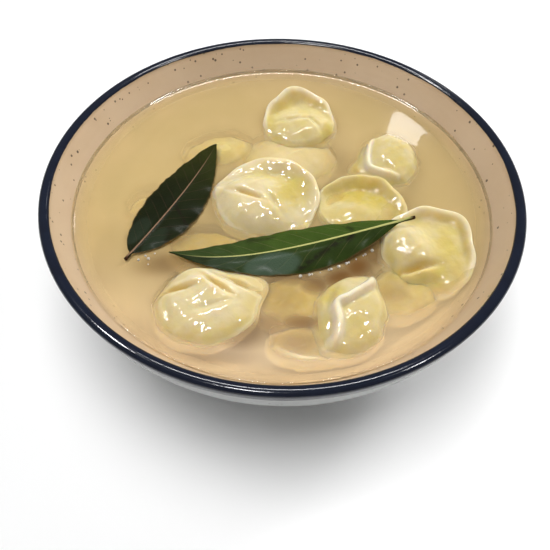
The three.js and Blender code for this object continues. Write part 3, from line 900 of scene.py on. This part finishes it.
def bowl_profile():
    """Foot, outside wall, lip and inside wall, from the axis below to the axis above."""
    inside_foot = FOOT_RADIUS - FOOT_WIDTH
    under = [(0, FOOT_RECESS), (inside_foot - 0.5, FOOT_RECESS), (inside_foot, 0), (FOOT_RADIUS, 0)]
    foot = rounded([*under, OUTER_WALL[0]], FOOT_CORNER)
    outer = bezier(OUTER_WALL, np.linspace(0, 1, 60))[1:]
    angle = np.linspace(0, math.pi, 24)[1:]
    lip_radius = RIM_RADIUS - LIP_HALF_WIDTH + LIP_HALF_WIDTH * np.cos(angle)
    lip = np.stack([lip_radius, LIP_Z + LIP_RISE * np.sin(angle)], -1)
    inner = bezier(INNER_WALL, np.linspace(1, 0, 70))[1:]
    floor_radius = np.linspace(FLOOR_RADIUS, 0, 8)[1:]
    floor = np.stack([floor_radius, np.full_like(floor_radius, FLOOR_Z)], -1)
    return np.vstack([foot, outer, lip, inner, floor])


class PELMENI_OT_bowl(bpy.types.Operator):
    """Turns the bowl with its foot ring and rounded lip"""

    bl_idname = "pelmeni.bowl"
    bl_label = "Make bowl"

    def execute(self, context):
        profile = bowl_profile()
        length = arc_lengths(profile)
        crown = length[profile[:, 1].argmax()]
        down = (crown - length) * MM
        points = turned_points(profile, BOWL_SPOKES)
        whole = np.ones(points.shape[:2])
        inside = ramp(-down, -0.001, 0.001)
        layers = {"down": down[:, None] * whole, "inside": inside[:, None] * whole}
        mesh = closed_mesh("turned_bowl", points, layers)
        add_piece(mesh, glaze_material(), "bowl")
        return {"FINISHED"}


def broth_climb(x, y):
    """The broth rises towards the wall: 1 there, and exp(-distance / CLIMB_REACH) away from it."""
    return np.exp(-np.maximum(0, wall_radius(LEVEL) - np.hypot(x, y)) / CLIMB_REACH)


def depth_below(x, y):
    """Depth from the surface to the highest thing under each place in plan, wall included.
    From 2 mm inside a dumpling's brim outwards, its depth grows by 3 mm for each mm."""
    wall = wall_line()
    depth = LEVEL - np.interp(np.hypot(x, y), wall[:, 0], wall[:, 1])
    for shape in [*PELMENI.values(), *SUNK_PELMENI.values()]:
        height, out = pelmen_height(x, y, shape)
        depth = np.minimum(depth, np.maximum(0, -height) + 3 * np.maximum(0, out + 2))
    return np.maximum(depth, 0)


def gap_shade_between(x, y):
    """Painted shade on the broth in the gaps between pelmeni, where little light reaches: soft
    ellipses, 1 at the darkest.
    """
    gap_shade = np.zeros_like(x)
    for spot in SHADED_GAPS:
        gap_shade = np.maximum(gap_shade, spot[5] * np.exp(-in_ellipse(x, y, spot) ** 3))
    return gap_shade


def wall_line():
    """Points of (radius, height) up the inside of the wall."""
    return bezier(INNER_WALL, np.linspace(0, 1, 200))


def wall_radius(z):
    """Radius of the inside of the wall at a height."""
    wall = wall_line()
    return float(np.interp(z, wall[:, 1], wall[:, 0]))


class PELMENI_OT_broth(bpy.types.Operator):
    """Pours the broth: a closed body just into the wall, with a surface that climbs at the wall"""

    bl_idname = "pelmeni.broth"
    bl_label = "Make broth"

    def execute(self, context):
        broth = settings().broth
        radius = wall_radius(LEVEL) + WALL_OVERLAP
        wall = bezier(INNER_WALL, np.linspace(0, 1, 40))
        wall = wall[wall[:, 1] < LEVEL - 1] + (WALL_OVERLAP, -0.5 * WALL_OVERLAP)
        below = np.vstack([(0, FLOOR_Z - 0.5 * WALL_OVERLAP), wall])
        inward = radius * np.linspace(1, 0, BROTH_RINGS)
        surface = np.stack([inward, np.full_like(inward, LEVEL)], -1)
        points = turned_points(np.vstack([below, surface]), BROTH_SPOKES)
        top = points[len(below):]
        top[..., 2] += broth.climb / MM * broth_climb(top[..., 0], top[..., 1])
        depth = depth_below(points[..., 0], points[..., 1]) * MM
        veil = broth.veil * (1 - SHALLOW_SHARE * np.exp(-depth / broth.veil_depth))
        # Painted shade in the gaps between pelmeni, where the veil thickens to show the dark colour
        gap_shade = gap_shade_between(points[..., 0], points[..., 1])
        veil = np.maximum(veil, GAP_SHADE_VEIL * gap_shade)
        mesh = closed_mesh("poured_broth", points, {"veil": veil, "gap_shade": gap_shade})
        add_piece(mesh, broth_material(), "broth")
        return {"FINISHED"}


class PELMENI_OT_pelmeni(bpy.types.Operator):
    """Shapes the dumplings that break the surface"""

    bl_idname = "pelmeni.pelmeni"
    bl_label = "Make pelmeni"

    def execute(self, context):
        dough = settings().dough
        material = dough_material()
        for name, shape in PELMENI.items():
            points, layers = pelmen_surface(shape, dough.rings, dough.spokes)
            mesh = closed_mesh("dumpling_" + name, points, layers)
            add_piece(mesh, material, "pelmen_" + name)
        return {"FINISHED"}


class PELMENI_OT_sunk_pelmeni(bpy.types.Operator):
    """Shapes the dumplings that lie wholly under the broth"""

    bl_idname = "pelmeni.sunk_pelmeni"
    bl_label = "Make sunk pelmeni"

    def execute(self, context):
        material = bpy.data.materials["boiled_dough"]
        for name, shape in SUNK_PELMENI.items():
            points, layers = pelmen_surface(shape, SUNK_RINGS, SUNK_SPOKES)
            mesh = closed_mesh("dumpling_" + name, points, layers)
            add_piece(mesh, material)
        return {"FINISHED"}


def sampled(rows, known, wanted):
    """Rows of values known at some places along a line, read between them at the wanted ones."""
    return np.stack([np.interp(wanted, known, axis) for axis in rows.T], -1)


def even_line(points, steps):
    """The Bezier curve of the points, at even distances along it."""
    fine = bezier(points, np.linspace(0, 1, 20 * steps))
    length = arc_lengths(fine)
    return sampled(fine, length, np.linspace(0, length[-1], steps))


def blade_edge(half, share, rib_z):
    """Width and height of one edge: widest * sin(pi * u^skew)^taper, never under the stalk's,
    and a height that sags from the rib's towards its rest as sin(pi * u)."""
    widest, skew, taper, rest = half
    u = np.clip((share - STALK_SHARE) / (1 - STALK_SHARE), 0, 1)
    blade = widest * np.maximum(0, np.sin(math.pi * u**skew)) ** taper
    least = STALK_HALF_WIDTH + (TIP_HALF_WIDTH - STALK_HALF_WIDTH) * share
    return np.maximum(blade, least), rib_z + (rest - rib_z) * np.sin(math.pi * u)


def blade_marks(leaf, length, t, across, offset):
    """Stains fade with the distance from a line on the blade, and wet films, painted as a
    reflecting sheen, from an ellipse.
    """
    at = np.stack([t * length, offset], -1)

    def sideways(share, side):
        row = int(share * (len(t) - 1))
        return side * np.abs(offset[row, across[row] * side > 0]).max()

    stain = np.zeros_like(offset)
    for first_t, first_side, last_t, last_side, width, strength in leaf["stains"]:
        first = np.array([first_t * length, sideways(first_t, first_side)])
        last = np.array([last_t * length, sideways(last_t, last_side)])
        run = last - first
        share = np.clip(((at - first) @ run) / (run @ run), 0, 1)
        away = np.linalg.norm(at - first - share[..., None] * run, axis=-1)
        stain = np.maximum(stain, strength * np.exp(-((away / width) ** 2)))
    film_sheen = np.zeros_like(offset)
    for film_t, side, film_length, film_width, strength in leaf["film_sheens"]:
        middle = side * np.abs(offset[int(film_t * (len(t) - 1))]).max()
        lengthwise = (at[..., 0] - film_t * length) / film_length
        distance = np.hypot(lengthwise, (offset - middle) / film_width)
        film_sheen = np.maximum(film_sheen, strength * ramp(distance, 1.15, 0.85))
    return stain, film_sheen


def leaf_points(leaf, lengthwise, crosswise):
    """A closed blade swept along its rib: columns run across the top and back under it, from
    edge to edge, and the blade hangs from the rib to the two edges of the outline."""
    line = even_line(leaf["rib"], lengthwise)
    t = np.linspace(0, 1, lengthwise)[:, None]
    left, left_z = blade_edge(leaf["left"], t, line[:, 2:])
    right, right_z = blade_edge(leaf["right"], t, line[:, 2:])
    along = np.gradient(line[:, :2], axis=0)
    along /= np.linalg.norm(along, axis=1)[:, None]
    side = np.stack([-along[:, 1], along[:, 0]], -1)
    angle = np.linspace(0, 2 * math.pi, 2 * crosswise, endpoint=False)
    across = np.cos(angle) * np.abs(np.cos(angle)) ** 0.6 * np.ones_like(t)
    reach = np.where(across > 0, left, right)
    edge_z = np.where(across > 0, left_z, right_z)
    offset = across * reach
    fullness = ramp(reach, 0.8, 8)
    hang = (edge_z - line[:, 2:]) * np.abs(across) ** 1.5
    wave = 0.35 * np.sin(40 * t + leaf["phase"] + 2 * across) * across**2 * fullness
    scallop = 0.012 * np.sin(95 * t + 3 * np.sin(9 * t) + leaf["phase"]) * fullness
    offset = offset * (1 + scallop * across**2)
    rib_width = leaf["rib_width"][0] + (leaf["rib_width"][1] - leaf["rib_width"][0]) * t
    rib = np.exp(-((offset / rib_width) ** 2))
    stalk = ramp(t, 0.07, 0.03) * STALK_SWELL
    thick = BLADE_HALF_THICKNESS + rib * RIB_SWELL * rib_width + stalk
    furrow = -0.25 * np.exp(-(((np.abs(offset) - 1.8) / 1.2) ** 2)) * fullness
    plan = line[:, None, :2] + side[:, None] * offset[..., None]
    z = line[:, 2:] + hang + wave + furrow + thick * np.sin(angle) + LEVEL
    points = np.concatenate([plan, z[..., None]], -1)
    points[0] = points[0].mean(0)
    points[-1] = points[-1].mean(0)
    length = arc_lengths(line)[-1]
    share = t * np.ones_like(across)
    stain, film_sheen = blade_marks(leaf, length, share, across, offset)
    layers = {"along": share, "across": across, "rib": rib, "stain": stain, "film_sheen": film_sheen}
    return points, layers


class PELMENI_OT_leaves(bpy.types.Operator):
    """Lays the two bay leaves on the broth"""

    bl_idname = "pelmeni.leaves"
    bl_label = "Make bay leaves"

    def execute(self, context):
        leaf = settings().leaf
        colours = {
            "dark": (leaf.dark, leaf.dark_tip, leaf.dark_rib),
            "green": (leaf.green, leaf.green_tip, leaf.green_rib),
        }
        for name, shape in LEAVES.items():
            tones = [tuple(tone) for tone in colours[name]]
            material = leaf_material(name + "_leaf", *tones, shape["near_half_shade"])
            points, layers = leaf_points(shape, LEAF_ROWS, LEAF_COLUMNS)
            mesh = closed_mesh(name + "_bay_leaf", points, layers)
            add_piece(mesh, material, "bay_leaf_" + name)
        return {"FINISHED"}


def bubble_points(rows, columns):
    """A unit sphere as a grid from pole to pole, round the vertical axis."""
    latitude = np.linspace(0, math.pi, rows)[:, None]
    longitude = np.linspace(0, 2 * math.pi, columns, endpoint=False)
    x = np.sin(latitude) * np.cos(longitude)
    y = np.sin(latitude) * np.sin(longitude)
    return np.stack([x, y, np.cos(latitude) + 0 * longitude], -1)


def bubble_places():
    """Place in plan and radius of each bubble. The row follows the green leaf's left edge at
    nearly even shares. The cluster is a spiral that turns by the golden angle, r = sqrt(k)."""
    leaf = LEAVES["green"]
    k = np.arange(ROW_BUBBLES)
    uneven = k + 0.35 * np.sin(2.1 * k)
    share = ROW_SHARES[0] + (ROW_SHARES[1] - ROW_SHARES[0]) * uneven / ROW_BUBBLES
    line = even_line(leaf["rib"], LEAF_ROWS)
    even = np.linspace(0, 1, LEAF_ROWS)
    place = sampled(line, even, share)
    run = sampled(np.gradient(line, axis=0), even, share)
    width, _ = blade_edge(leaf["left"], share, place[:, 2])
    side = np.stack([-run[:, 1], run[:, 0]], -1) / np.hypot(run[:, 0], run[:, 1])[:, None]
    row = place[:, :2] + side * (width + ROW_CLEARANCE)[:, None]
    j = np.arange(CLUSTER_BUBBLES)
    turn = j * math.radians(GOLDEN_ANGLE)
    spiral = np.stack([np.cos(turn), np.sin(turn)], -1) * CLUSTER_SPREAD * np.sqrt(j)[:, None]
    places = np.vstack([row, spiral + CLUSTER_MIDDLE])
    pick = 0.5 + 0.5 * np.sin(5.3 * np.arange(len(places)) + 1)
    radius = BUBBLE_RADII[0] + (BUBBLE_RADII[1] - BUBBLE_RADII[0]) * pick
    return np.column_stack([places, radius])


def bubble_material():
    """Pale, half clear foam."""
    nodes = Nodes("foam_bubble")
    inputs = {
        "Base Color": (0.95, 0.93, 0.86), "Roughness": 0.1, "IOR": 1.2, "Transmission Weight": 0.55,
        "Coat Weight": 1.0, "Coat Roughness": 0.0,
    }
    return nodes.finish(nodes.add("BsdfPrincipled", inputs))


class PELMENI_OT_bubbles(bpy.types.Operator):
    """Floats the small bubbles beside the leaves: scaled unit spheres, half out of the broth"""

    bl_idname = "pelmeni.bubbles"
    bl_label = "Make bubbles"

    def execute(self, context):
        vertices, quads, tris = closed_grid(bubble_points(BUBBLE_ROWS, BUBBLE_COLUMNS))
        spots = bubble_places()
        count = len(vertices) * np.arange(len(spots))[:, None, None]
        centres = np.column_stack([spots[:, :2], LEVEL + BUBBLE_FLOAT * spots[:, 2]]) * MM
        every = centres[:, None] + spots[:, 2, None, None] * vertices
        quads, tris = (quads + count).reshape(-1, 4), (tris + count).reshape(-1, 3)
        mesh = fill_mesh("floating_bubbles", every.reshape(-1, 3), quads, tris)
        add_piece(mesh, bubble_material())
        return {"FINISHED"}


# ---- Stage --------------------------------------------------------------------------

# Lamps in metres and watts: (place, size, power).
LAMP_TARGET = (0, 0, 0.05)
SOFT_LAMPS = {
    "overhead": ((-0.12, -0.04, 0.87), (0.6, 0.6), 7.4),
    "back_right": ((0.75, 0.65, 0.55), (0.35, 0.5), 8.0),
}
GLINT_LAMPS = {
    "window": ((0.229, 0.722, 0.617), (0.062, 0.050), 0.09),
    "top_strip": ((0.0, 0.33, 0.93), (0.5, 0.05), 3.6),
    "left_strip": ((-0.45, 0.12, 0.85), (0.17, 0.08), 3.1),
    "right_strip": ((0.5, -0.15, 0.8), (0.12, 0.06), 1.6),
    "front_strip": ((-0.12, -0.3, 0.95), (0.18, 0.08), 3.2),
}
FLOOR_HALF = 4.0


def plain_material(name, base):
    """One dull colour."""
    nodes = Nodes(name)
    return nodes.finish(nodes.add("BsdfPrincipled", {"Base Color": base, "Roughness": 0.8}))


def soft_room(brightness):
    """Even white light from all round."""
    world = bpy.data.worlds.new("soft_room")
    bpy.context.scene.world = world
    world.use_nodes = True
    background = world.node_tree.nodes["Background"]
    background.inputs["Color"].default_value = (1, 1, 1, 1)
    background.inputs["Strength"].default_value = brightness


def area_light(name, place, size, power, glint):
    """A lamp aimed at the bowl. A glint lamp shows only in gloss, and a soft one only lights."""
    light = bpy.data.lights.new(name, "AREA")
    light.shape = "RECTANGLE"
    light.size, light.size_y = size
    light.energy = power
    lamp = bpy.data.objects.new(name, light)
    lamp.location = place
    aim = Vector(LAMP_TARGET) - Vector(place)
    lamp.rotation_euler = aim.to_track_quat("-Z", "Y").to_euler()
    lamp.visible_glossy = glint
    lamp.visible_diffuse = not glint
    lamp.visible_transmission = False
    bpy.context.scene.collection.objects.link(lamp)


def add_camera(stage):
    """The camera looks along +Y, pitched down, with a small pan and roll."""
    camera = bpy.data.cameras.new("camera")
    camera.sensor_width = 36
    camera.lens = stage.lens
    holder = bpy.data.objects.new("camera", camera)
    bpy.context.scene.collection.objects.link(holder)
    turn = Matrix.Rotation(stage.pan, 4, "Z") @ Matrix.Rotation(math.pi / 2 - stage.pitch, 4, "X")
    roll = Matrix.Rotation(stage.roll, 4, "Z")
    holder.matrix_world = Matrix.Translation(Vector(stage.camera)) @ turn @ roll
    bpy.context.scene.camera = holder


class PELMENI_OT_stage(bpy.types.Operator):
    """Sets the floor, the soft lights and the camera"""

    bl_idname = "pelmeni.stage"
    bl_label = "Make stage"

    def execute(self, context):
        stage = settings().stage
        corners = np.array([(-1, -1, 0), (1, -1, 0), (1, 1, 0), (-1, 1, 0)]) * FLOOR_HALF
        mesh = fill_mesh("floor", corners, np.array([[0, 1, 2, 3]]), np.zeros((0, 3), int))
        floor = bpy.data.objects.new("floor", mesh)
        mesh.materials.append(plain_material("floor", tuple(stage.floor)))
        bpy.context.scene.collection.objects.link(floor)
        soft_room(stage.room)
        for lamps, glint in ((SOFT_LAMPS, False), (GLINT_LAMPS, True)):
            for name, (place, size, power) in lamps.items():
                area_light(name, place, size, power, glint)
        add_camera(stage)
        bpy.context.scene.view_settings.view_transform = "Standard"
        return {"FINISHED"}


# ---- Panel and registration ---------------------------------------------------------

OPERATORS = (
    PELMENI_OT_stage,
    PELMENI_OT_bowl,
    PELMENI_OT_broth,
    PELMENI_OT_pelmeni,
    PELMENI_OT_sunk_pelmeni,
    PELMENI_OT_leaves,
    PELMENI_OT_bubbles,
)


class PELMENI_PT_sidebar(bpy.types.Panel):
    """Lists the pieces and their settings"""

    bl_idname = "PELMENI_PT_sidebar"
    bl_label = "Bowl of pelmeni"
    bl_space_type = "VIEW_3D"
    bl_region_type = "UI"
    bl_category = "Pelmeni"

    def draw(self, context):
        for operator in OPERATORS:
            self.layout.operator(operator.bl_idname)
        for part in ("bowl", "broth", "dough", "leaf", "stage"):
            box = self.layout.box()
            box.label(text=part.capitalize())
            group = getattr(settings(), part)
            for name in group.__annotations__:
                box.prop(group, name)


CLASSES = (
    PelmeniBowlSettings,
    PelmeniBrothSettings,
    PelmeniDoughSettings,
    PelmeniLeafSettings,
    PelmeniStageSettings,
    PelmeniSettings,
    *OPERATORS,
    PELMENI_PT_sidebar,
)


def register():
    for cls in CLASSES:
        bpy.utils.register_class(cls)
    bpy.types.Scene.pelmeni = PointerProperty(type=PelmeniSettings)


def unregister():
    del bpy.types.Scene.pelmeni
    for cls in reversed(CLASSES):
        bpy.utils.unregister_class(cls)


def main():
    register()
    bpy.ops.pelmeni.stage()
    bpy.ops.pelmeni.bowl()
    bpy.ops.pelmeni.broth()
    bpy.ops.pelmeni.pelmeni()
    bpy.ops.pelmeni.sunk_pelmeni()
    bpy.ops.pelmeni.leaves()
    bpy.ops.pelmeni.bubbles()


if __name__ == "__main__":
    main()
